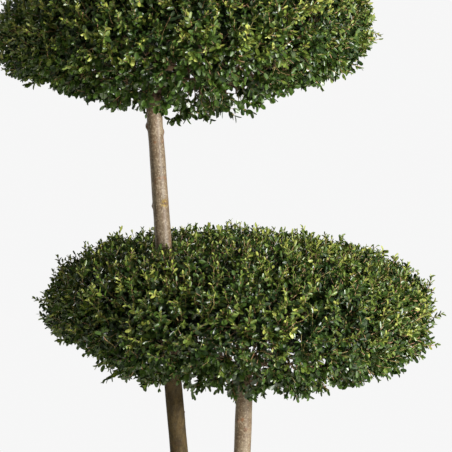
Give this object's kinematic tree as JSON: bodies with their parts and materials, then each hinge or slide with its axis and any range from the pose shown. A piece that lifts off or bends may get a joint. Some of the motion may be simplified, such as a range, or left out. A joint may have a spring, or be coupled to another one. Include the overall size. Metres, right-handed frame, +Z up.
{
  "type": "tiered privet topiary",
  "caption": "Garden shrub clipped into tiered flat cushions of small evergreen leaves on slim bare stems that rise from one root crown, fixed in the ground at its flat foot.",
  "frame": {"origin": "middle of the flat cut at ground level under the root crown of the tall stem", "axes": "+Z up along the stems, +X to the viewer's right in the picture's view, +Y away from the viewer"},
  "size_m": [0.9937, 0.9233, 1.8542],
  "materials": {
    "bark": "smooth grey-brown young bark with pale pores and small pruning knobs",
    "foliage": "glossy dark green small leaves with yellow-green young shoots"
  },
  "bodies": {
    "root": {"tall_stem": "bark", "short_stem": "bark", "lower_cushion": "foliage", "upper_cushion": "foliage"}
  },
  "joints": []
}
